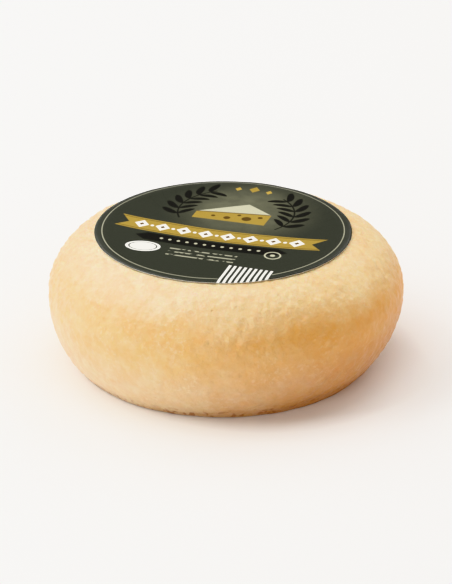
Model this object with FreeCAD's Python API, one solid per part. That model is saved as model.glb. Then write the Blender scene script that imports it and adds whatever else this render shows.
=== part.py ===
"""Small semi-cured ewe's-milk cheese with a round paper label on its top.

Two solids, in millimetres, +Z up, with the origin at the centre of the flat foot:
    cheese  the wheel: a flat foot, a wall that leans out to a bulge, a full round shoulder and a low crown
    label   a paper disc that follows the crown and the start of the shoulder
The wheel is a pressed and turned cheese, so its plan is a little oval and lobed, one side bulges
further than the other, and the bulge runs a little higher on one side.
"""

import FreeCAD
import Part
import math
import os

# wheel: overall sizes
WHEEL_DIAMETER = 97.2
WHEEL_HEIGHT = 37.4
FOOT_DIAMETER = 78.6
BULGE_HEIGHT = 20.6  # where the wall stands furthest out
CROWN_DIAMETER = 62.0  # where the top begins to round over
CROWN_RISE = 0.35  # how much the middle of the top stands above the crown's edge
CAP_DIAMETER = 22.0  # the level middle of the top

# wheel: how full the curves are, 1.0 being a plain ellipse and more being leaner
WALL_LEANNESS = 1.6
SHOULDER_LEANNESS = 1.04

# wheel: unevenness, largest at half height and none at the foot and the cap
BULGE_SHIFT = 1.2  # the +X side stands this much further out than the middle
OVAL = 0.35
OVAL_TURN = math.radians(25.0)
LOBE = 0.22
LOBE_TURN = math.radians(70.0)
LEAN = 0.35  # the bulge is this much higher on one side
LEAN_TURN = math.radians(10.0)

# label
LABEL_DIAMETER = 70.0
LABEL_THICKNESS = 0.16
LABEL_OFFSET_X = 0.2
LABEL_OFFSET_Y = 1.0

# how finely the forms are followed
WALL_STEPS = 8
SHOULDER_STEPS = 9
CROWN_STEPS = 4
RING_POLES = 36
SPLINE_DEGREE = 3


def quarter_steps(steps):
    """Angles from 0 to a right angle, in equal steps."""
    return [math.pi / 2 * i / steps for i in range(steps + 1)]


def wall_points():
    """(radius, height) up the wall, from the foot's edge to the bulge."""
    foot = FOOT_DIAMETER / 2
    reach = WHEEL_DIAMETER / 2 - foot
    points = []
    for turn in quarter_steps(WALL_STEPS):
        radius = foot + reach * math.sin(turn) ** WALL_LEANNESS
        points.append((radius, BULGE_HEIGHT * (1 - math.cos(turn))))
    return points


def shoulder_points():
    """(radius, height) over the shoulder, from above the bulge to the crown's edge."""
    crown = CROWN_DIAMETER / 2
    reach = WHEEL_DIAMETER / 2 - crown
    rise = WHEEL_HEIGHT - CROWN_RISE - BULGE_HEIGHT
    points = []
    for turn in quarter_steps(SHOULDER_STEPS)[1:]:
        radius = crown + reach * max(math.cos(turn), 0.0) ** SHOULDER_LEANNESS
        points.append((radius, BULGE_HEIGHT + rise * math.sin(turn) ** SHOULDER_LEANNESS))
    return points


def crown_points():
    """(radius, height) from inside the crown's edge to the level cap, a low cosine rise."""
    crown = CROWN_DIAMETER / 2
    cap = CAP_DIAMETER / 2
    points = []
    for step in range(1, CROWN_STEPS + 1):
        share = step / CROWN_STEPS
        rise = CROWN_RISE * (1 - math.cos(math.pi * share)) / 2
        points.append((crown + (cap - crown) * share, WHEEL_HEIGHT - CROWN_RISE + rise))
    return points


def profile_curve():
    """The half section of the wheel, from the foot's edge to the cap's edge, as one smooth curve."""
    section = wall_points() + shoulder_points() + crown_points()
    curve = Part.BSplineCurve()
    curve.interpolate(Points=[FreeCAD.Vector(radius, 0, height) for radius, height in section])
    return curve


def uneven(radius, height, turn):
    """A point of the section turned round the axis and pushed out of true."""
    share = math.sin(math.pi * min(max(height / WHEEL_HEIGHT, 0.0), 1.0))
    out = BULGE_SHIFT * math.cos(turn)
    out += OVAL * math.cos(2 * (turn - OVAL_TURN))
    out += LOBE * math.cos(3 * (turn - LOBE_TURN))
    lift = LEAN * math.cos(turn - LEAN_TURN)
    radius += share * out
    return FreeCAD.Vector(radius * math.cos(turn), radius * math.sin(turn), height + share * lift)


def wheel_side():
    """The wheel's skin from foot to cap: the section's poles carried round in closed rings."""
    curve = profile_curve()
    step = 2 * math.pi / RING_POLES
    spread = 3 / (2 + math.cos(step))  # a ring's poles lie this much outside the ring that they give
    poles = []
    for index in range(RING_POLES):
        ring = [uneven(pole.x * spread, pole.z, index * step) for pole in curve.getPoles()]
        poles.append(ring)
    surface = Part.BSplineSurface()
    surface.buildFromPolesMultsKnots(
        poles,
        [1] * (RING_POLES + 1),
        curve.getMultiplicities(),
        [float(index) for index in range(RING_POLES + 1)],
        curve.getKnots(),
        True,
        False,
        SPLINE_DEGREE,
        curve.Degree,
    )
    return surface.toShape()


def flat_cap(side, height):
    """The level face that closes the skin's open ring at this height."""
    near = 1e-4
    ring = [edge for edge in side.Edges if abs(edge.BoundBox.ZMax - height) < near and edge.BoundBox.ZLength < near]
    return Part.Face(Part.Wire(ring))


def make_cheese():
    side = wheel_side()
    faces = [side, flat_cap(side, 0.0), flat_cap(side, WHEEL_HEIGHT)]
    shell = Part.Shell(faces)
    shell.fix(1e-5, 1e-6, 1e-4)
    solid = Part.Solid(shell)
    if solid.Volume < 0:
        solid.reverse()
    return solid


def make_label(cheese):
    """The space between the cheese's top and the same top one label thickness higher, cut to a disc."""
    centre = FreeCAD.Vector(LABEL_OFFSET_X, LABEL_OFFSET_Y, BULGE_HEIGHT)
    column = Part.makeCylinder(LABEL_DIAMETER / 2, WHEEL_HEIGHT, centre)
    raised = cheese.copy()
    raised.translate(FreeCAD.Vector(0, 0, LABEL_THICKNESS))
    label = column.common(raised).cut(cheese)
    return max(label.Solids, key=lambda solid: solid.Volume)


def main():
    os.makedirs("parts", exist_ok=True)
    cheese = make_cheese()
    label = make_label(cheese)
    for name, solid in (("cheese", cheese), ("label", label)):
        if not solid.isValid():
            raise ValueError(name + " isn't a valid solid")
        solid.exportStep("parts/" + name + ".step")
        box = solid.BoundBox
        size = (round(box.XLength, 2), round(box.YLength, 2), round(box.ZLength, 2))
        print(name, "volume mm3", round(solid.Volume, 1), "size mm", size)


main()
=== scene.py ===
"""Dresses a small semi-cured cheese: a waxy, finely pebbled rind, a printed round label and a plain stage.

The wheel and its label are modelled here, around the frame's CAD nodes, which stay as they are.
Lengths are in metres, apart from the patterns of the finishes, which are laid out in millimetres.
"""

import math
import random

import bmesh
import bpy
from bpy.props import FloatProperty, FloatVectorProperty, IntProperty, PointerProperty
from bpy.types import Operator, Panel, PropertyGroup
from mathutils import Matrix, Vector, noise
from mathutils.bvhtree import BVHTree
from mathutils.kdtree import KDTree


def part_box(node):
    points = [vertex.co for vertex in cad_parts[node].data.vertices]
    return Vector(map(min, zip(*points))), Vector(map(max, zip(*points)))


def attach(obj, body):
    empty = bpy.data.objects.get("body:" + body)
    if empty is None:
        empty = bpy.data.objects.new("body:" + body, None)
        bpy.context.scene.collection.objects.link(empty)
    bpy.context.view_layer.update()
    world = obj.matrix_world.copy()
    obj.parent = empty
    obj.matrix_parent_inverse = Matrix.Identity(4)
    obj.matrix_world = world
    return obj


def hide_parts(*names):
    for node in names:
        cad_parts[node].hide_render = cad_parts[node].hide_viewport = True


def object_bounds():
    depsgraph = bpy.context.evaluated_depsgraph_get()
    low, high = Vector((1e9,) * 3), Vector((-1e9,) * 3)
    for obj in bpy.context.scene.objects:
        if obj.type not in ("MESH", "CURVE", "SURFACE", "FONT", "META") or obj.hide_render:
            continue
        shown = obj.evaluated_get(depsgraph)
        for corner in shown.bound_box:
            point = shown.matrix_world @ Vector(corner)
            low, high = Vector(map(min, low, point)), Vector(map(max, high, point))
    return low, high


bl_info = {
    "name": "Small cheese wheel",
    "version": (1, 0, 0),
    "blender": (4, 5, 0),
    "location": "View3D > Sidebar > Cheese",
    "description": "Models and finishes a small cheese wheel with its label around a fixed frame",
    "category": "Object",
}

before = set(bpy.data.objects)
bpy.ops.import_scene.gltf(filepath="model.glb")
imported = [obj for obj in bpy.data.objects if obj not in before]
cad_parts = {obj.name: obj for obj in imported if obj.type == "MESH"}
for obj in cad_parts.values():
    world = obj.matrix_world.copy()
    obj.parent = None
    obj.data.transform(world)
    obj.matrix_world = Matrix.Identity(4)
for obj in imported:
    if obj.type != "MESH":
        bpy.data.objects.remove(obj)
CAD_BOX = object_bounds()
WHEEL_LOW, WHEEL_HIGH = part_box("cheese")
LABEL_LOW, LABEL_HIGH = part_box("label")

MM = 0.001
ON_FLOOR = 0.01 * MM  # a point lower than this rests on the floor


def foot_diameter():
    """Diameter of the ring in which the frame's wheel stands on the floor."""
    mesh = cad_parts["cheese"].data
    return 2 * max(vertex.co.xy.length for vertex in mesh.vertices if vertex.co.z < ON_FLOOR)


# ---------------------------------------------------------------- what a user may change


def a_length(name, description, default):
    return FloatProperty(name=name, description=description, default=default, unit="LENGTH", precision=5)


def an_angle(name, description, degrees):
    return FloatProperty(name=name, description=description, default=math.radians(degrees), subtype="ANGLE")


def a_number(name, description, default):
    return FloatProperty(name=name, description=description, default=default)


def a_share(name, description, default):
    return FloatProperty(name=name, description=description, default=default, min=0, max=1, subtype="FACTOR")


def a_count(name, description, default):
    return IntProperty(name=name, description=description, default=default, min=1)


def a_colour(name, description, default):
    return FloatVectorProperty(
        name=name, description=description, default=default, min=0, max=1, size=3, subtype="COLOR"
    )


class WheelForm(PropertyGroup):
    """The pressed wheel: its half section and how far it is out of true."""

    diameter: a_length(
        "Diameter", "Mean diameter at the bulge", sum((WHEEL_HIGH - WHEEL_LOW).xy) / 2 - 0.05 * MM
    )
    height: a_length("Height", "Height without the label", WHEEL_HIGH.z)
    foot_diameter: a_length("Foot diameter", "Diameter of the flat foot", foot_diameter())
    bulge_height: a_length("Bulge height", "Where the wall stands furthest out", 20.6 * MM)
    crown_diameter: a_length("Crown diameter", "Where the top begins to round over", 62.0 * MM)
    crown_rise: a_length("Crown rise", "The middle of the top above the crown's edge", 0.35 * MM)
    cap_diameter: a_length("Cap diameter", "The level middle of the top", 22.0 * MM)
    wall_leanness: a_number("Wall leanness", "1 is an ellipse, more is leaner", 1.6)
    shoulder_leanness: a_number("Shoulder leanness", "1 is an ellipse, more is leaner", 1.04)
    bulge_shift: a_length("Bulge shift", "How much further out the +X side stands", 1.2 * MM)
    oval: a_length("Oval", "How oval the plan is", 0.35 * MM)
    oval_turn: an_angle("Oval turn", "Direction of the oval's long axis", 25)
    lobe: a_length("Lobe", "How three-cornered the plan is", 0.22 * MM)
    lobe_turn: an_angle("Lobe turn", "Direction of the first corner", 70)
    lean: a_length("Lean", "How much higher the bulge is on one side", 0.35 * MM)
    lean_turn: an_angle("Lean turn", "The side on which the bulge is higher", 10)


class RindRelief(PropertyGroup):
    """What is pressed and dried into the rind. Every depth goes inwards from the wheel's form."""

    columns: a_count("Columns", "Faces round the wheel", 640)
    spacing: a_length("Spacing", "Distance between the rows of the rind that shows", 0.45 * MM)
    hidden_spacing: a_length("Hidden spacing", "Distance between the rows underneath", 2.6 * MM)
    swell_size: a_length("Swell size", "Width of the broad hollows", 17 * MM)
    swell_depth: a_length("Swell depth", "Depth of the broad hollows", 0.30 * MM)
    pebble_size: a_length("Pebble size", "Width of the small bumps", 2.5 * MM)
    pebble_depth: a_length("Pebble depth", "Height of the small bumps", 0.52 * MM)
    knobs: a_share("Knobs", "How much deeper the relief is on the shoulder of one side", 0.8)
    knob_turn: an_angle("Knob side", "Direction of that side", 150)
    grain_size: a_length("Grain size", "Width of the finest unevenness", 1.1 * MM)
    grain_depth: a_length("Grain depth", "Height of the finest unevenness", 0.10 * MM)
    crease_depth: a_length("Crease depth", "Depth of the level creases above the bulge", 0.12 * MM)
    pits: a_count("Pits", "Small holes in the wall and the shoulder", 46)
    pit_depth: a_length("Pit depth", "Depth of the deepest hole", 0.35 * MM)
    rim_wear: a_length("Rim wear", "How ragged the edge of the foot is", 0.3 * MM)
    seed: a_count("Seed", "Changes where the pits and the bumps are", 11)


class RindFinish(PropertyGroup):
    """Colours and gloss of the rind."""

    straw: a_colour("Straw", "The main colour", (0.758, 0.522, 0.208))
    # Cream is the painted highlight of the shoulder and the painted light of the -X side, and also the colour
    # of the random creamy patches.
    cream: a_colour("Cream", "The paler shoulder and crown", (0.762, 0.620, 0.378))
    # Buff is painted reflection and bounce light of the pale floor on the lowest part of the wall.
    buff: a_colour("Buff", "The paler lowest part of the wall", (0.770, 0.585, 0.355))
    # Honey, ochre and amber are painted warm shade and warm bounce light on the +X side; honey is also the
    # painted highlight of that side's shoulder, and ochre also colours the random deeper patches.
    honey: a_colour("Honey", "The shoulder of the side that has ripened further", (0.835, 0.640, 0.325))
    ochre: a_colour("Ochre", "The side that has ripened further", (0.715, 0.342, 0.072))
    amber: a_colour("Amber", "The lowest part of that side", (0.590, 0.266, 0.088))
    bloom: a_colour("Bloom", "The dry, pale flecks", (0.850, 0.700, 0.460))
    # Pore is the colour of the random dark mottling and of the painted shade in the hollows and pits.
    pore: a_colour("Pore", "The bottoms of the hollows", (0.560, 0.310, 0.105))
    # Foot brown is the stain at the foot's edge and, higher up on the +X side, painted shade.
    foot_brown: a_colour("Foot brown", "The stained edge of the foot", (0.530, 0.220, 0.065))
    speck: a_colour("Speck", "The small rusty specks near the foot", (0.370, 0.105, 0.028))
    cloud_size: a_length("Cloud size", "Width of the broad changes of colour", 14 * MM)
    patch_size: a_length("Patch size", "Width of the deeper patches", 6.5 * MM)
    mottle_size: a_length("Mottle size", "Width of the darker mottling", 2.6 * MM)
    grain_size: a_length("Grain size", "Width of the finest flecks", 1.1 * MM)
    # The paler shoulder between these heights is a painted highlight of the light from above.
    shoulder_from: a_length("Shoulder from", "Where the wall begins to turn paler", 26 * MM)
    shoulder_full: a_length("Shoulder full", "Where it is as pale as the shoulder", 35.5 * MM)
    # Below these heights the wall turns to the painted floor reflection, buff, and on the +X side to painted
    # shade, amber.
    low_wall_from: a_length("Low wall from", "Where the lowest colours of the wall begin", 20 * MM)
    low_wall_full: a_length("Low wall full", "Where nothing else is left", 7 * MM)
    stain_height: a_length("Stain height", "How high the foot's stain reaches", 1.0 * MM)
    roughness: a_share("Roughness", "Mean roughness of the waxy skin", 0.46)
    translucence: a_share("Translucence", "Share of the light that enters the rind", 0.42)
    depth: a_length("Light depth", "How far light spreads under the skin", 1.6 * MM)
    # Direction of the side that gets the painted warm shade and warm bounce light.
    warm_shade_turn: an_angle("Ripe side", "Direction of the side that has ripened further", -4)


class LabelForm(PropertyGroup):
    """The round paper label."""

    diameter: a_length("Diameter", "Diameter of the label", LABEL_HIGH.x - LABEL_LOW.x)
    centre_x: a_length("Centre X", "Middle of the label", (LABEL_LOW.x + LABEL_HIGH.x) / 2)
    centre_y: a_length("Centre Y", "Middle of the label", (LABEL_LOW.y + LABEL_HIGH.y) / 2)
    rise: a_length("Rise", "Top of the label above the wheel", LABEL_HIGH.z - WHEEL_HIGH.z)
    thickness: a_length("Thickness", "Thickness of the paper", 0.13 * MM)
    rings: a_count("Rings", "Faces from the middle to the edge", 56)
    columns: a_count("Columns", "Faces round the label", 384)
    cockle: a_length("Cockle", "Depth of the soft waves in the stuck paper", 0.05 * MM)
    buckle: a_length("Buckle", "Height of the waves along the edge", 0.10 * MM)


class LabelPrint(PropertyGroup):
    """Colours of the print and the way it is turned."""

    turn: an_angle("Turn", "How the print is turned on the cheese", -18)
    ground: a_colour("Ground", "The dark grey-green field", (0.034, 0.037, 0.027))
    glow: a_colour("Glow", "The paler middle of the field", (0.165, 0.165, 0.105))
    gold: a_colour("Gold", "The gold ink", (0.45, 0.31, 0.065))
    gold_line: a_colour("Gold line", "The brown lines on the gold", (0.13, 0.075, 0.02))
    black: a_colour("Black", "The black ink", (0.006, 0.006, 0.005))
    cream: a_colour("Cream", "The fine lines", (0.48, 0.47, 0.34))
    white: a_colour("White", "The bare paper", (0.86, 0.85, 0.80))


class StageLook(PropertyGroup):
    """The floor, the lights and the camera."""

    floor_size: a_length("Floor size", "Side of the square floor", 9.0)
    floor_colour: a_colour("Floor", "The pale floor", (0.930, 0.928, 0.922))
    sky_colour: a_colour("Surroundings", "Light from all round", (1.0, 0.965, 0.92))
    sky_strength: a_number("Surroundings strength", "Brightness of the light from all round", 0.24)
    key_power: a_number("Key power", "Watts of the soft light at the left", 7.8)
    far_power: a_number("Far power", "Watts of the soft lights behind", 5.0)
    top_power: a_number("Top power", "Watts of the soft light overhead", 3.9)
    front_power: a_number("Front power", "Watts of the soft light beside the camera", 3.15)
    warm_power: a_number("Warm power", "Watts of the low warm light at the right", 0.9)
    far_right_share: a_share("Far right share", "Power of the far light at the right, against its pair", 0.62)
    light_size: a_length("Light size", "Side of the square soft lights", 0.7)
    warm_size: a_length("Warm light size", "Side of the warm light", 0.45)
    camera_distance: a_length("Camera distance", "From the camera to the middle of the cheese", 1.187)
    camera_elevation: an_angle("Camera elevation", "Above the floor", 24.5)
    lens: a_number("Lens", "Focal length in millimetres", 268.0)


# ---------------------------------------------------------------- the wheel's form


def quarter(steps):
    """Angles from 0 to a right angle, in equal steps."""
    return [math.pi / 2 * step / steps for step in range(steps + 1)]


def flank_curve(form, steps=120):
    """(radius, height) from the foot's edge over the bulge and the shoulder to the level cap."""
    foot = form.foot_diameter / 2
    bulge = form.diameter / 2
    crown = form.crown_diameter / 2
    cap = form.cap_diameter / 2
    shoulder_rise = form.height - form.crown_rise - form.bulge_height
    points = []
    for turn in quarter(steps):
        radius = foot + (bulge - foot) * math.sin(turn) ** form.wall_leanness
        points.append(Vector((radius, form.bulge_height * (1 - math.cos(turn)))))
    for turn in quarter(steps)[1:]:
        radius = crown + (bulge - crown) * max(math.cos(turn), 0) ** form.shoulder_leanness
        height = form.bulge_height + shoulder_rise * math.sin(turn) ** form.shoulder_leanness
        points.append(Vector((radius, height)))
    for step in range(1, steps + 1):
        share = step / steps
        rise = form.crown_rise * (1 - math.cos(math.pi * share)) / 2
        points.append(Vector((crown + (cap - crown) * share, form.height - form.crown_rise + rise)))
    return points


def stations(points, spacing):
    """Points a spacing apart along a line of points, with both its ends."""
    lengths = [0.0]
    for start, end in zip(points, points[1:]):
        lengths.append(lengths[-1] + (end - start).length)
    count = max(1, round(lengths[-1] / spacing))
    found = []
    piece = 0
    for index in range(count + 1):
        along = lengths[-1] * index / count
        while piece < len(points) - 2 and lengths[piece + 1] < along:
            piece += 1
        span = lengths[piece + 1] - lengths[piece]
        found.append(points[piece].lerp(points[piece + 1], (along - lengths[piece]) / span))
    return found


def half_section(form, relief, hidden_radius):
    """The wheel's half section: close rows on the rind that shows, wide ones under the foot and the label."""
    flank = flank_curve(form)
    shown = [point for point in flank if point.x >= hidden_radius]
    covered = [shown[-1]] + [point for point in flank if point.x < hidden_radius] + [Vector((0, form.height))]
    underside = [Vector((0, 0)), shown[0]]
    rows = stations(underside, relief.hidden_spacing)
    rows += stations(shown, relief.spacing)[1:]
    rows += stations(covered, relief.hidden_spacing)[1:]
    return rows


def spun(section, columns, sectors=16):
    """A skin with closed poles: the half section swept through one sector, then copied round the axis."""
    mesh = bmesh.new()
    line = [mesh.verts.new((point.x, 0, point.y)) for point in section]
    edges = [mesh.edges.new(pair) for pair in zip(line, line[1:])]
    upright = {"cent": (0, 0, 0), "axis": (0, 0, 1)}
    sector = 2 * math.pi / sectors
    bmesh.ops.spin(mesh, geom=line + edges, angle=sector, steps=columns // sectors, **upright)
    swept = mesh.verts[:] + mesh.edges[:] + mesh.faces[:]
    rest = sectors - 1
    bmesh.ops.spin(mesh, geom=swept, angle=sector * rest, steps=rest, use_duplicate=True, **upright)
    bmesh.ops.remove_doubles(mesh, verts=mesh.verts, dist=0.001 * MM)
    bmesh.ops.recalc_face_normals(mesh, faces=mesh.faces)
    return mesh


def push_out_of_true(mesh, form):
    """Moves the true wheel's points to where the uneven wheel has them, most at half height."""
    for vertex in mesh.verts:
        x, y, height = vertex.co
        radius = math.hypot(x, y)
        turn = math.atan2(y, x)
        share = math.sin(math.pi * min(max(height / form.height, 0), 1))
        out = form.bulge_shift * math.cos(turn)
        out += form.oval * math.cos(2 * (turn - form.oval_turn))
        out += form.lobe * math.cos(3 * (turn - form.lobe_turn))
        radius += share * out
        lift = share * form.lean * math.cos(turn - form.lean_turn)
        vertex.co = (radius * math.cos(turn), radius * math.sin(turn), height + lift)


# ---------------------------------------------------------------- the rind's relief


def smooth(low, high, value):
    """0 below low, 1 above high and a soft step between."""
    share = min(max((value - low) / (high - low), 0), 1)
    return share * share * (3 - 2 * share)


def noise_at(place, size, seed):
    """Soft noise from 0 to 1, with lumps about this size."""
    return 0.5 + 0.5 * noise.noise(place / size + Vector((seed, 2 * seed, 3 * seed)))


def pebble_at(place, size, seed):
    """0 on top of a rounded bump and 1 between the bumps, which are uneven and a little run together."""
    warped = place / size + 0.35 * noise.noise_vector(place / size * 0.7 + Vector((seed, 0, 0)))
    nearest = noise.voronoi(warped + Vector((0, seed, 0)))[0][0]
    return smooth(0.05, 0.85, nearest)


def crease_at(place, form, seed):
    """1 in the middle of a level crease of the upper wall, in patches round the wheel."""
    turn = math.atan2(place.y, place.x)
    radius = form.diameter / 2
    flat = Vector((radius * math.cos(turn) / 7, radius * math.sin(turn) / 7, place.z * 0.9)) / MM
    line = 1 - smooth(0.0, 0.16, abs(noise.noise(flat + Vector((0, 0, seed)))))
    patch = smooth(0.45, 0.65, noise_at(place, 14 * MM, seed + 5))
    level = smooth(0.42, 0.55, place.z / form.height) * (1 - smooth(0.78, 0.9, place.z / form.height))
    return line * patch * level


def relief_at(place, form, relief):
    """How deep the rind lies under the wheel's form at this place."""
    seed = relief.seed
    swell = noise_at(place, relief.swell_size, seed)
    strength = 0.55 + 0.55 * noise_at(place, 1.4 * relief.swell_size, seed + 1)
    pebble = pebble_at(place, relief.pebble_size, seed)
    broad_pebble = noise_at(place, 2.1 * relief.pebble_size, seed + 2)
    grain = noise_at(place, relief.grain_size, seed + 3)
    depth = relief.swell_depth * swell
    depth += relief.pebble_depth * strength * (0.6 * pebble + 0.4 * broad_pebble)
    depth += relief.grain_depth * grain
    depth += relief.crease_depth * crease_at(place, form, seed)
    return depth


def knobs_at(place, form, relief):
    """1 on the shoulder of the side with the deeper relief and 0 away from it."""
    side = Vector((math.cos(relief.knob_turn), math.sin(relief.knob_turn)))
    facing = smooth(0.1, 0.8, place.xy.normalized().dot(side))
    return facing * smooth(0.45, 0.7, place.z / form.height)


def rim_wear_at(place, relief):
    """How far the ragged edge of the foot is worn back towards the axis at this place."""
    near = 1 - smooth(0.0, 2.2 * MM, place.z)
    broad = smooth(0.35, 0.75, noise_at(place, 6 * MM, relief.seed + 8))
    nicks = smooth(0.55, 0.8, noise_at(place, 1.5 * MM, relief.seed + 9))
    return relief.rim_wear * near * (0.5 * broad + 0.5 * nicks * broad + 0.12 * nicks)


def pit_depths(mesh, form, relief):
    """Depth of the pits by vertex, for round holes of uneven width strewn over the wall and the shoulder."""
    draw = random.Random(relief.seed)
    tree = KDTree(len(mesh.verts))
    for vertex in mesh.verts:
        tree.insert(vertex.co, vertex.index)
    tree.balance()
    depths = {}
    for _ in range(relief.pits):
        turn = draw.uniform(0, 2 * math.pi)
        height = form.height * draw.uniform(0.1, 0.93)
        radius = draw.uniform(0.45, 1.0) * MM
        depth = relief.pit_depth * draw.uniform(0.35, 1)
        far_out = Vector((math.cos(turn) * form.diameter, math.sin(turn) * form.diameter, height))
        middle = nearest_on_flank(far_out, form)
        for _co, index, distance in tree.find_range(middle, radius):
            depths[index] = max(depths.get(index, 0), depth * (1 - smooth(0.2 * radius, radius, distance)))
    return depths


def nearest_on_flank(place, form):
    """The point of the true wheel's flank at this point's height and direction."""
    flank = flank_curve(form, 40)
    found = min(flank, key=lambda point: abs(point.y - place.z) + (0 if point.x > form.cap_diameter else 1))
    out = place.xy.normalized() * found.x
    return Vector((out.x, out.y, found.y))


def carve(mesh, form, relief, label_middle, label_radius):
    """Sinks the relief into the wheel and keeps each point's depth, as a share, in the attribute relief."""
    noise.seed_set(relief.seed)  # noise_vector would follow the clock otherwise
    mesh.normal_update()
    mesh.verts.index_update()
    pits = pit_depths(mesh, form, relief)
    deepest = relief.swell_depth + 1.2 * relief.pebble_depth + relief.grain_depth
    inside_rim = form.foot_diameter / 2 - 1 * MM
    layer = mesh.verts.layers.float.new("relief")
    pit_layer = mesh.verts.layers.float.new("pit")
    for vertex in mesh.verts:
        place = vertex.co.copy()
        from_label = (place.xy - label_middle).length - label_radius
        under_label = 1 - smooth(-1 * MM, 1 * MM, from_label)
        under_label *= place.z > form.bulge_height
        depth = relief_at(place, form, relief) * (1 - 0.6 * under_label)
        pit = pits.get(vertex.index, 0)
        vertex[layer] = depth / deepest
        vertex[pit_layer] = pit / relief.pit_depth
        depth = depth * (1 + relief.knobs * knobs_at(place, form, relief)) + pit
        out = place.xy.length
        if place.z >= ON_FLOOR:
            vertex.co -= vertex.normal * depth * smooth(0, 1.2 * MM, place.z)
        elif out < inside_rim:
            vertex.co.z += 0.6 * depth * smooth(1 * MM, 6 * MM, form.foot_diameter / 2 - out)
        if out > inside_rim and place.z < form.bulge_height:
            vertex.co.xy -= place.xy.normalized() * rim_wear_at(place, relief)


# ---------------------------------------------------------------- nodes as plain expressions


class Value:
    """A number, colour or vector that varies over a surface. Arithmetic on it adds the Math nodes."""

    def __init__(self, finish, socket):
        self.finish = finish
        self.socket = socket

    def math(self, operation, *values):
        inputs = dict(enumerate(values))
        return self.finish.node("ShaderNodeMath", {"operation": operation}, inputs)

    def __add__(self, other):
        return self.math("ADD", self, other)

    def __sub__(self, other):
        return self.math("SUBTRACT", self, other)

    def __rsub__(self, other):
        return self.math("SUBTRACT", other, self)

    def __mul__(self, other):
        return self.math("MULTIPLY", self, other)

    def __truediv__(self, other):
        return self.math("DIVIDE", self, other)

    def __pow__(self, other):
        return self.math("POWER", self, other)

    def __mod__(self, other):
        return self.math("FLOORED_MODULO", self, other)

    def __and__(self, other):
        return self.math("MINIMUM", self, other)

    def __or__(self, other):
        return self.math("MAXIMUM", self, other)

    def __abs__(self):
        return self.math("ABSOLUTE", self)

    __radd__ = __add__
    __rmul__ = __mul__


class Finish:
    """A material that is being made. Sizes in its patterns are in millimetres."""

    def __init__(self, name):
        self.material = bpy.data.materials.new(name)
        self.material.use_nodes = True
        self.tree = self.material.node_tree
        self.tree.nodes.clear()

    def node(self, kind, settings=None, inputs=None, output=0):
        """Adds any node: its type, then its settings, then the values or links of its sockets."""
        made = self.tree.nodes.new(kind)
        for name, value in (settings or {}).items():
            setattr(made, name, value)
        for name, value in (inputs or {}).items():
            if isinstance(value, Value):
                self.tree.links.new(value.socket, made.inputs[name])
            else:
                made.inputs[name].default_value = value
        return Value(self, made.outputs[output]) if made.outputs else None

    def place(self, middle=(0, 0, 0), turn=0, scale=(1, 1, 1)):
        """Where a point of the piece is, in millimetres, from this middle and turned about the vertical."""
        return self.node(
            "ShaderNodeMapping",
            {"vector_type": "TEXTURE"},
            {
                "Vector": self.node("ShaderNodeTexCoord", output="Object"),
                "Location": middle,
                "Rotation": (0, 0, turn),
                "Scale": tuple(Vector(scale) * MM),
            },
        )

    def part(self, place, axis):
        """One of a place's numbers, by the name of its axis."""
        return self.node("ShaderNodeSeparateXYZ", None, {"Vector": place}, output=axis)

    def attribute(self, name):
        return self.node("ShaderNodeAttribute", {"attribute_name": name}, output="Fac")

    def noise(self, place, size, detail=2.0, roughness=0.5, distortion=0.0):
        """Soft noise with lumps about this size."""
        inputs = {
            "Vector": place,
            "Scale": 1 / size,
            "Detail": detail,
            "Roughness": roughness,
            "Distortion": distortion,
        }
        return self.node("ShaderNodeTexNoise", None, inputs)

    def step(self, value, low, high):
        """0 where the value is at low, 1 where it is at high, with a soft step between."""
        inputs = {"Value": value, "From Min": low, "From Max": high}
        return self.node("ShaderNodeMapRange", {"interpolation_type": "SMOOTHSTEP"}, inputs)

    def mix(self, share, low, high):
        """The colour low where the share is 0 and high where it is 1."""
        return self.node("ShaderNodeMix", {"data_type": "RGBA"}, {0: share, 6: low, 7: high}, output=2)

    def bump(self, height, distance, strength=1.0):
        inputs = {"Height": height, "Distance": distance, "Strength": strength}
        return self.node("ShaderNodeBump", None, inputs)

    def finished(self, inputs):
        """Ends the material with one shader that has these inputs."""
        shader = self.node("ShaderNodeBsdfPrincipled", None, inputs)
        self.node("ShaderNodeOutputMaterial", None, {"Surface": shader})
        return self.material


def opaque(colour):
    """A colour property as the four numbers that a colour socket takes."""
    return (*colour, 1.0)


class RindPlan:
    """The patterns that several of the rind's colours follow."""

    def __init__(self, finish, form, look):
        self.finish = finish
        self.place = finish.place()
        self.height = finish.part(self.place, "Z")
        self.clouds = finish.noise(self.place, look.cloud_size / MM, 3, 0.55) - 0.5
        # Across the wheel towards +X: the side given painted warm shade and warm bounce light, with the
        # clouds in its edge; the far -X end is given painted key light.
        across = finish.part(finish.place(turn=look.warm_shade_turn), "X") / (form.diameter / 2 / MM)
        toward_warm_shade = across + self.clouds * 0.6
        self.warm_shade_side = finish.step(toward_warm_shade, -0.5, 0.9)
        self.warm_shade_spread = finish.step(toward_warm_shade, -0.75, 0.9)
        # Paler towards -X: painted light on the side that the key lamp lights.
        self.key_lit_side = finish.step(toward_warm_shade, -0.4, -1.1)
        # The paler shoulder is a painted highlight of the light from above; it starts a little lower on the
        # +X side.
        shoulder = self.height + self.clouds * 11 + 2.4 * self.warm_shade_side
        self.shoulder = finish.step(shoulder, look.shoulder_from / MM, look.shoulder_full / MM)
        patches = finish.noise(self.place, look.patch_size / MM, 2, 0.5, 0.6)
        self.patches = finish.step(patches, 0.34, 0.66)
        mottle = finish.noise(self.place, look.mottle_size / MM, 3, 0.6, 0.4)
        self.mottle = finish.step(mottle, 0.36, 0.66)
        self.grain = finish.noise(self.place, look.grain_size / MM, 2, 0.6)


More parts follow.
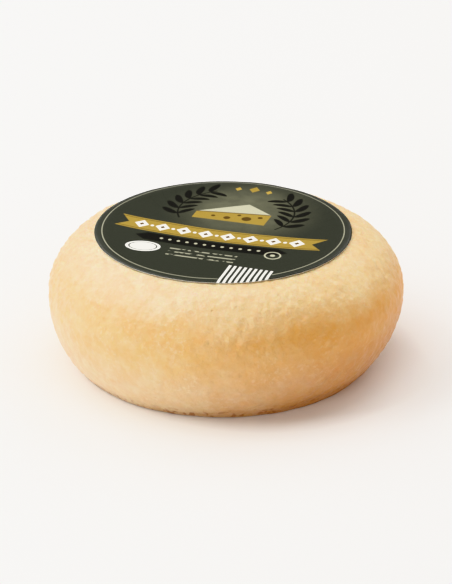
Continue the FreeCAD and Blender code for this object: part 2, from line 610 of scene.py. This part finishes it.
def broad_colour(plan, look):
    """Straw to ochre round the wall, paler on the shoulder, and buff to amber low on the wall: the ochre and
    amber are painted warm shade, the paler shoulder is a painted highlight, the paler -X side is painted
    light, and buff is a painted reflection of the floor.
    """
    finish = plan.finish
    # The lowest part of the wall: buff is a painted reflection of the floor, and amber, on the +X side, is
    # painted shade.
    low_wall = plan.height + plan.clouds * 9 - 3 * plan.warm_shade_side
    low_wall = finish.step(low_wall, look.low_wall_from / MM, look.low_wall_full / MM)
    straw = finish.mix(plan.key_lit_side * 0.6, opaque(look.straw), opaque(look.cream))
    colour = finish.mix(plan.warm_shade_spread, straw, opaque(look.ochre))
    painted_highlight_colour = finish.mix(plan.warm_shade_side, opaque(look.cream), opaque(look.honey))
    colour = finish.mix(plan.shoulder, colour, painted_highlight_colour)
    low_colour = finish.mix(plan.warm_shade_side, opaque(look.buff), opaque(look.amber))
    return finish.mix(low_wall, colour, low_colour)


def mottled(plan, look, colour):
    """The colour with creamy patches, deeper patches and a darker mottling laid over it."""
    finish = plan.finish
    creamy = finish.step(finish.noise(plan.place, 5, 3, 0.6), 0.40, 0.62)
    colour = finish.mix(creamy * (1 - 0.7 * plan.warm_shade_side) * 0.30, colour, opaque(look.cream))
    colour = finish.mix(plan.patches * 0.20, colour, opaque(look.ochre))
    return finish.mix(plan.mottle * 0.14, colour, opaque(look.pore))


def bloomed(plan, look, colour):
    """The colour with the wall's dry, pale flecks and the shoulder's drawn-out streaks."""
    finish = plan.finish
    flecks = finish.step(plan.grain, 0.50, 0.68) * (1 - 0.7 * plan.warm_shade_side)
    fields = finish.step(finish.noise(plan.place, 9, 2, 0.5), 0.42, 0.62)
    colour = finish.mix(flecks * (0.25 + 0.75 * fields) * 0.40, colour, opaque(look.bloom))
    drawn_out = finish.place(scale=(1.7, 1.7, 1.0))
    streaks = finish.step(finish.noise(drawn_out, 0.9, 2, 0.55, 0.4), 0.47, 0.64)
    share = streaks * plan.shoulder * (1 - 0.6 * plan.patches) * 0.5
    return finish.mix(share, colour, opaque(look.bloom))


def shade_in_hollows(plan, look, colour):
    """The colour, darker in the hollows between the bumps and in the pits: painted shade."""
    finish = plan.finish
    # Painted shade in the hollows between the bumps and in the pits.
    hollows = finish.step(finish.attribute("relief"), 0.50, 0.90)
    pits = finish.step(finish.attribute("pit"), 0.1, 0.8)
    colour = finish.mix(hollows * 0.26, colour, opaque(look.pore))
    return finish.mix(pits * 0.5, colour, opaque(look.pore))


def stained(plan, look, colour):
    """The colour with the foot's brown stain, which reaches higher and is darker on the +X side as painted
    shade, and rusty specks along the rim.
    """
    finish = plan.finish
    ragged = (finish.noise(plan.place, 4, 3, 0.6) - 0.5) * 6
    # The brown edge of the foot is the rind's own stain; its extra reach and darkness on the +X side are
    # painted shade.
    reach = look.stain_height / MM + 3.6 * plan.warm_shade_side + ragged
    stain = finish.step(plan.height - reach, 1.4, -0.8)
    specks = finish.step(finish.noise(plan.place, 1.6, 1, 0.5), 0.55, 0.62)
    near_rim = finish.step(plan.height - 1.5 * plan.warm_shade_side, 3.4, 1.0)
    colour = finish.mix(stain * (0.30 + 0.13 * plan.warm_shade_side), colour, opaque(look.foot_brown))
    return finish.mix(specks * near_rim * 0.65, colour, opaque(look.speck))


def waxy_rind(form, look):
    """Straw-coloured skin, paler on the shoulder as a painted highlight, deeper on one side as painted warm
    shade, and stained at the foot.
    """
    finish = Finish("waxy rind")
    plan = RindPlan(finish, form, look)
    colour = broad_colour(plan, look)
    colour = mottled(plan, look, colour)
    colour = bloomed(plan, look, colour)
    colour = shade_in_hollows(plan, look, colour)
    colour = stained(plan, look, colour)
    fine = finish.noise(plan.place, 0.42, 3, 0.6)
    skin = 0.75 * plan.grain + 0.25 * fine
    return finish.finished(
        {
            "Base Color": colour,
            "Roughness": look.roughness - 0.06 + 0.16 * plan.mottle,
            "Normal": finish.bump(skin, 0.34 * MM),
            "IOR": 1.5,
            "Coat Weight": 0.40 - 0.22 * plan.warm_shade_side,
            "Coat Roughness": 0.40,
            "Subsurface Weight": look.translucence,
            "Subsurface Radius": (1.0, 0.55, 0.25),
            "Subsurface Scale": look.depth,
        }
    )


# ---------------------------------------------------------------- the label's print, in millimetres


class LabelPlan:
    """The label's plane: u along the print, v up it, and the masks of the shapes printed on it."""

    EDGE = 0.07  # half the width of a printed edge

    def __init__(self, finish, middle, turn):
        self.finish = finish
        place = finish.place(middle, turn)
        self.place = place
        self.u = finish.part(place, "X")
        self.v = finish.part(place, "Y")
        self.radius = (self.u * self.u + self.v * self.v) ** 0.5

    def filled(self, distance):
        """A mask: 1 where a signed distance is under 0."""
        return self.finish.step(distance, self.EDGE, -self.EDGE)

    def disc(self, u, v, radius):
        across = self.u - u
        up = self.v - v
        return (across * across + up * up) ** 0.5 - radius

    def oval(self, u, v, half_width, half_height):
        """About the distance to an oval."""
        across = (self.u - u) / half_width
        up = (self.v - v) / half_height
        return ((across * across + up * up) ** 0.5 - 1) * half_height

    def side(self, start, end):
        """Distance to the right of the line from start to end."""
        along = Vector(end) - Vector(start)
        along.normalize()
        offset = along.y * start[0] - along.x * start[1]
        return self.u * along.y - self.v * along.x - offset

    def polygon(self, corners):
        """Distance to a convex shape whose corners go round anticlockwise."""
        found = None
        for start, end in zip(corners, corners[1:] + corners[:1]):
            side = self.side(start, end)
            found = side if found is None else found | side
        return found

    def arc_height(self, middle, sag):
        """Height above a line that crosses the middle at this height and bends up by sag at u of 10."""
        return self.v - middle - self.u * self.u * (sag / 100)

    def lozenge(self, across, up, half_width, half_height):
        return (abs(across) / half_width + abs(up) / half_height - 1) * (half_width * half_height)

    def repeated(self, along, pitch):
        """Distance from the middle of the nearest of the cells that lie a pitch apart."""
        return along % pitch - pitch / 2


def sprigs(plan):
    """Two leafy sprigs that curve up round the middle of the label's upper half, one each side."""
    middle_v = 11.5
    curve = 16.0
    leaf_length = 4.6
    leaf_width = 1.25
    pitch = 3.7
    slant = 0.75
    up = plan.v - middle_v
    across = abs(plan.u)
    from_middle = (across * across + up * up) ** 0.5
    turn = up.math("ARCTAN2", up, across)
    off_stem = abs(from_middle - curve)
    along = turn * curve - off_stem * slant
    halfway = (off_stem - leaf_length / 2) / (leaf_length / 2)
    width = (1 - halfway * halfway | 0) ** 0.7 * leaf_width
    leaf = abs(plan.repeated(along, pitch)) - width
    within = abs(along - 1.0 * pitch) - 3 * pitch
    stem = off_stem - 0.22
    stem_within = abs(along - 0.8 * pitch) - 3.2 * pitch
    return plan.filled((leaf | within) & (stem | stem_within))


def wedge(plan, look):
    """A cut wedge of cheese: the inks of its gold side, its holes and its pale top, and its gold."""
    tip = (-10.5, 9.0)
    back = (2.0, 17.5)
    corner = (10.0, 12.0)
    drop = 7.2
    low_corner = (corner[0], corner[1] - drop)
    low_tip = (tip[0], tip[1] - 0.62 * drop)
    top = plan.filled(plan.polygon([tip, corner, back]))
    side = plan.filled(plan.polygon([low_tip, low_corner, corner, tip]))
    holes = plan.disc(4.2, 7.6, 1.35) & plan.disc(-1.2, 6.9, 0.95) & plan.disc(7.6, 9.4, 0.7)
    holes = holes & plan.disc(-5.2, 7.2, 0.6) & plan.disc(1.6, 9.4, 0.55)
    line = plan.filled(abs(plan.side(tip, corner)) - 0.22)
    inks = [
        (side, look.gold),
        (side * plan.filled(holes), look.gold_line),
        (top, look.cream),
        ((top | side) * line, look.gold_line),
    ]
    return inks, side


def swallow_tailed_band(plan, look):
    """A gold band with a row of white lozenges and beads: its inks, and its gold that stays bare."""
    half_width = 3.7
    half_length = 29.2
    notch = 3.2
    pitch = 6.3
    up = plan.arc_height(-5.6, 0.42)
    reach = abs(plan.u)
    end = reach + notch - abs(up) * (notch / half_width) - half_length
    band = plan.filled((abs(up) - half_width) | end)
    line = plan.filled(abs(abs(up) - half_width + 0.7) - 0.12)
    in_row = plan.filled(reach - 3.9 * pitch)
    cell = plan.repeated(plan.u, pitch)
    lozenges = plan.filled(plan.lozenge(cell, up, 2.15, 2.35) / 3.2) * in_row
    cores = plan.filled(plan.lozenge(cell, up, 0.75, 0.85) / 1.1) * in_row
    between = plan.repeated(plan.u + pitch / 2, pitch)
    beads = plan.filled((between * between + up * up) ** 0.5 - 0.52) * in_row
    inks = [
        (band, look.gold),
        (line * band, look.gold_line),
        (lozenges, look.white),
        (cores, look.gold_line),
        (beads, look.white),
    ]
    return inks, band * (1 - (lozenges | beads))


def dotted_ribbon(plan, look):
    """The inks of a black ribbon with a row of cream dots."""
    half_width = 2.2
    half_length = 21.5
    up = plan.arc_height(-12.4, 0.42)
    reach = abs(plan.u)
    ribbon = plan.filled((abs(up) - half_width) | (reach + abs(up) * 1.4 - half_length))
    cell = plan.repeated(plan.u, 2.5)
    dots = plan.filled((cell * cell + up * up) ** 0.5 - 0.48)
    return [(ribbon, look.black), (dots * plan.filled(reach - 15), look.cream)]


def broken_lines(plan, look):
    """The ink of three rows of short cream dashes."""
    finish = plan.finish
    up = plan.arc_height(-16.3, 0.30)
    rows = plan.filled(abs(plan.repeated(up, 1.9)) - 0.27) * plan.filled(abs(up + 2.85) - 2.8)
    dashes = finish.step(finish.noise(plan.place, 1.3, 0, 0.5), 0.40, 0.46)
    return [(rows * dashes * plan.filled(abs(plan.u) - 9.5) * 0.8, look.cream)]


def small_marks(plan, look):
    """The inks of a white oval with a fine line in it, and of a ring with a dot in it."""
    oval = plan.oval(-17.0, -17.6, 4.9, 3.1)
    ring = plan.disc(18.2, -13.2, 2.1)
    return [
        (plan.filled(oval), look.white),
        (plan.filled(abs(oval + 0.65) - 0.13), look.ground),
        (plan.filled(abs(ring) - 0.22), look.cream),
        (plan.filled(ring + 1.4), look.cream),
    ]


def rim_and_stripes(plan, look, rim):
    """The inks of a fine ring near the rim, and of a block of white stripes that breaks it."""
    stripes = plan.filled(abs(plan.repeated(plan.u, 1.45)) - 0.36)
    block = plan.filled(abs(plan.u - 15.2) - 6.4) * plan.filled(plan.v + 22.6)
    ring = plan.filled(abs(plan.radius - (rim - 2.1)) - 0.13) * (1 - block)
    return [(ring * 0.75, look.cream), (block * stripes, look.white)]


def top_marks(plan, look):
    """The ink of three gold lozenges near the upper rim, and the gold of the middle one."""
    middle = plan.filled(plan.lozenge(plan.u, plan.v - 28.3, 1.5, 2.0) / 2.6)
    pair = plan.filled(plan.lozenge(abs(plan.u) - 4.4, plan.v - 27.6, 0.95, 1.3) / 1.6)
    return [(middle | pair, look.gold)], middle


def printed_label(form, look):
    """A dark field with a paler middle, and simple motifs on it in gold, black, cream and white."""
    finish = Finish("printed label")
    plan = LabelPlan(finish, (form.centre_x, form.centre_y, 0), look.turn)
    glow = finish.step(plan.disc(2, 13, 0), 24, 2)
    wash = finish.step(finish.noise(plan.place, 7, 3, 0.6), 0.3, 0.75)
    wedge_inks, wedge_gold = wedge(plan, look)
    band_inks, band_gold = swallow_tailed_band(plan, look)
    top_inks, top_gold = top_marks(plan, look)
    inks = [(glow * (0.55 + 0.45 * wash), look.glow), (sprigs(plan), look.black)]
    inks += wedge_inks + band_inks + dotted_ribbon(plan, look) + broken_lines(plan, look)
    inks += small_marks(plan, look) + rim_and_stripes(plan, look, form.diameter / 2 / MM) + top_inks
    colour = opaque(look.ground)
    for mask, ink in inks:
        colour = finish.mix(mask, colour, opaque(ink))
    fibre = finish.noise(plan.place, 0.55, 3, 0.6)
    return finish.finished(
        {
            "Base Color": colour,
            "Metallic": (wedge_gold | band_gold | top_gold) * 0.35,
            "Roughness": 0.34 + 0.10 * fibre,
            "Normal": finish.bump(fibre, 0.012 * MM, 0.6),
            "IOR": 1.36,
        }
    )


def paper_core(look):
    """The bare, slightly fibrous paper in the label's cut edge."""
    finish = Finish("paper core")
    fibre = finish.noise(finish.place(), 0.3, 2, 0.6)
    warm = (look.white[0], look.white[1] * 0.96, look.white[2] * 0.86, 1.0)
    colour = finish.mix(fibre, opaque(look.white), warm)
    return finish.finished({"Base Color": colour, "Roughness": 0.7 + 0.15 * fibre})


def pale_floor(look):
    """A matt, almost white sheet with the faintest clouding."""
    finish = Finish("pale floor")
    clouds = finish.noise(finish.place(), 60, 2, 0.5)
    shaded = opaque([channel * 0.985 for channel in look.floor_colour])
    colour = finish.mix(clouds, opaque(look.floor_colour), shaded)
    return finish.finished({"Base Color": colour, "Roughness": 0.6 + 0.05 * clouds, "IOR": 1.3})


# ---------------------------------------------------------------- pieces


def as_object(mesh, name, *materials):
    """A linked, smoothly shaded object made from a bmesh, which is freed."""
    data = bpy.data.meshes.new(name)
    mesh.to_mesh(data)
    mesh.free()
    data.shade_smooth()
    for material in materials:
        data.materials.append(material)
    piece = bpy.data.objects.new(name, data)
    bpy.context.scene.collection.objects.link(piece)
    return piece


def true_wheel(form, relief, hidden_radius, columns):
    """The uneven wheel before anything is carved into it."""
    mesh = spun(half_section(form, relief, hidden_radius), columns)
    push_out_of_true(mesh, form)
    return mesh


def label_face(form, relief, label):
    """The label's upper face: a disc that lies on the wheel, a little cockled and buckled at its edge."""
    under = true_wheel(form, relief, form.cap_diameter / 2, relief.columns // 4)
    surface = BVHTree.FromBMesh(under)
    under.free()
    radius = label.diameter / 2
    section = [Vector((radius * ring / label.rings, form.height)) for ring in range(label.rings + 1)]
    mesh = spun(section, label.columns)
    middle = Vector((label.centre_x, label.centre_y, 0))
    bmesh.ops.translate(mesh, verts=mesh.verts, vec=middle)
    for vertex in mesh.verts:
        out = (vertex.co.xy - middle.xy).length
        high = Vector((vertex.co.x, vertex.co.y, form.height + radius))
        ground = surface.ray_cast(high, Vector((0, 0, -1)))[0]
        edge = smooth(radius - 5 * MM, radius, out)
        cockle = label.cockle * noise_at(vertex.co, 9 * MM, relief.seed)
        wave = smooth(0.45, 0.85, noise_at(vertex.co, 6.5 * MM, relief.seed + 4))
        vertex.co.z = ground.z + label.rise - cockle * (1 - edge) + label.buckle * edge * wave
    bmesh.ops.recalc_face_normals(mesh, faces=mesh.faces)
    if sum(face.normal.z for face in mesh.faces) < 0:
        bmesh.ops.reverse_faces(mesh, faces=mesh.faces)
    return mesh


class CHEESE_OT_make_wheel(Operator):
    """Model the wheel with its carved rind and give it its waxy finish"""

    bl_idname = "cheese.make_wheel"
    bl_label = "Make Wheel"

    def execute(self, context):
        scene = context.scene
        form = scene.cheese_form
        label = scene.cheese_label
        hidden_radius = label.diameter / 2 - abs(label.centre_y) - 2 * MM
        relief = scene.cheese_relief
        mesh = true_wheel(form, relief, hidden_radius, relief.columns)
        middle = Vector((label.centre_x, label.centre_y))
        carve(mesh, form, relief, middle, label.diameter / 2)
        wheel = as_object(mesh, "wheel", waxy_rind(form, scene.cheese_rind))
        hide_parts("cheese")
        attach(wheel, "root")
        return {"FINISHED"}


class CHEESE_OT_make_label(Operator):
    """Model the label as a thin paper disc that lies on the wheel's top, and print it"""

    bl_idname = "cheese.make_label"
    bl_label = "Make Label"

    def execute(self, context):
        scene = context.scene
        label = scene.cheese_label
        inks = scene.cheese_print
        mesh = label_face(scene.cheese_form, scene.cheese_relief, label)
        piece = as_object(mesh, "label_sheet", printed_label(label, inks), paper_core(inks))
        wall = piece.modifiers.new("paper", "SOLIDIFY")
        wall.thickness = label.thickness
        wall.offset = -1
        wall.material_offset_rim = 1
        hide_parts("label")
        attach(piece, "root")
        return {"FINISHED"}


def soft_light(name, power, size, colour, place, target):
    """A large square lamp that shines at the target."""
    lamp = bpy.data.lights.new(name, "AREA")
    lamp.energy = power
    lamp.size = size
    lamp.color = colour
    light = bpy.data.objects.new(name, lamp)
    light.location = place
    light.rotation_euler = (target - place).to_track_quat("-Z", "Y").to_euler()
    bpy.context.scene.collection.objects.link(light)


def hang_lights(look, middle):
    """Soft lights at the left, behind, overhead and in front, and a low warm one at the right."""
    white = (1.0, 1.0, 1.0)
    peach = (1.0, 0.78, 0.55)
    wide = look.light_size
    far_right_power = look.far_right_share * look.far_power
    soft_light("key", look.key_power, wide, white, Vector((-0.75, -0.05, 0.70)), middle)
    soft_light("far_left", look.far_power, wide, white, Vector((-0.55, 0.60, 0.70)), middle)
    soft_light("far_right", far_right_power, wide, white, Vector((0.50, 0.60, 0.60)), middle)
    soft_light("top", look.top_power, wide, white, Vector((-0.05, 0.10, 1.05)), middle)
    soft_light("front", look.front_power, wide, white, Vector((-0.15, -0.90, 0.48)), middle)
    soft_light("warm", look.warm_power, look.warm_size, peach, Vector((0.65, 0.05, 0.15)), middle)


def light_surroundings(scene, look):
    """An even, dim light from all round."""
    world = bpy.data.worlds.new("surroundings")
    world.use_nodes = True
    sky = world.node_tree.nodes["Background"]
    sky.inputs["Color"].default_value = opaque(look.sky_colour)
    sky.inputs["Strength"].default_value = look.sky_strength
    scene.world = world


def place_camera(scene, look, middle):
    """A camera in front of the cheese that looks down at its middle."""
    camera = bpy.data.objects.new("camera", bpy.data.cameras.new("camera"))
    away = Vector((0, -math.cos(look.camera_elevation), math.sin(look.camera_elevation)))
    camera.location = middle + away * look.camera_distance
    camera.rotation_euler = (-away).to_track_quat("-Z", "Y").to_euler()
    camera.data.lens = look.lens
    camera.data.clip_start = 0.01
    camera.data.clip_end = 50
    scene.collection.objects.link(camera)
    scene.camera = camera


class CHEESE_OT_set_stage(Operator):
    """Lay the pale floor, hang the soft lights and set up the camera"""

    bl_idname = "cheese.set_stage"
    bl_label = "Set Stage"

    def execute(self, context):
        scene = context.scene
        look = scene.cheese_stage
        middle = (CAD_BOX[0] + CAD_BOX[1]) / 2
        mesh = bmesh.new()
        bmesh.ops.create_grid(mesh, x_segments=1, y_segments=1, size=look.floor_size / 2)
        floor = as_object(mesh, "floor", pale_floor(look))
        light_surroundings(scene, look)
        hang_lights(look, middle)
        place_camera(scene, look, middle)
        scene.view_settings.view_transform = "Khronos PBR Neutral"
        return {"FINISHED"}


class CHEESE_PT_workshop(Panel):
    """The steps in the order in which they are run"""

    bl_idname = "CHEESE_PT_workshop"
    bl_label = "Cheese"
    bl_space_type = "VIEW_3D"
    bl_region_type = "UI"
    bl_category = "Cheese"

    def draw(self, context):
        for step in (CHEESE_OT_make_wheel, CHEESE_OT_make_label, CHEESE_OT_set_stage):
            self.layout.operator(step.bl_idname)


SETTINGS = {
    "cheese_form": WheelForm,
    "cheese_relief": RindRelief,
    "cheese_rind": RindFinish,
    "cheese_label": LabelForm,
    "cheese_print": LabelPrint,
    "cheese_stage": StageLook,
}
STEPS = (CHEESE_OT_make_wheel, CHEESE_OT_make_label, CHEESE_OT_set_stage, CHEESE_PT_workshop)


def register():
    for name, group in SETTINGS.items():
        bpy.utils.register_class(group)
        setattr(bpy.types.Scene, name, PointerProperty(type=group))
    for step in STEPS:
        bpy.utils.register_class(step)


def unregister():
    for step in reversed(STEPS):
        bpy.utils.unregister_class(step)
    for name, group in reversed(SETTINGS.items()):
        delattr(bpy.types.Scene, name)
        bpy.utils.unregister_class(group)


def main():
    register()
    bpy.ops.cheese.make_wheel()
    bpy.ops.cheese.make_label()
    bpy.ops.cheese.set_stage()


if __name__ == "__main__":
    main()
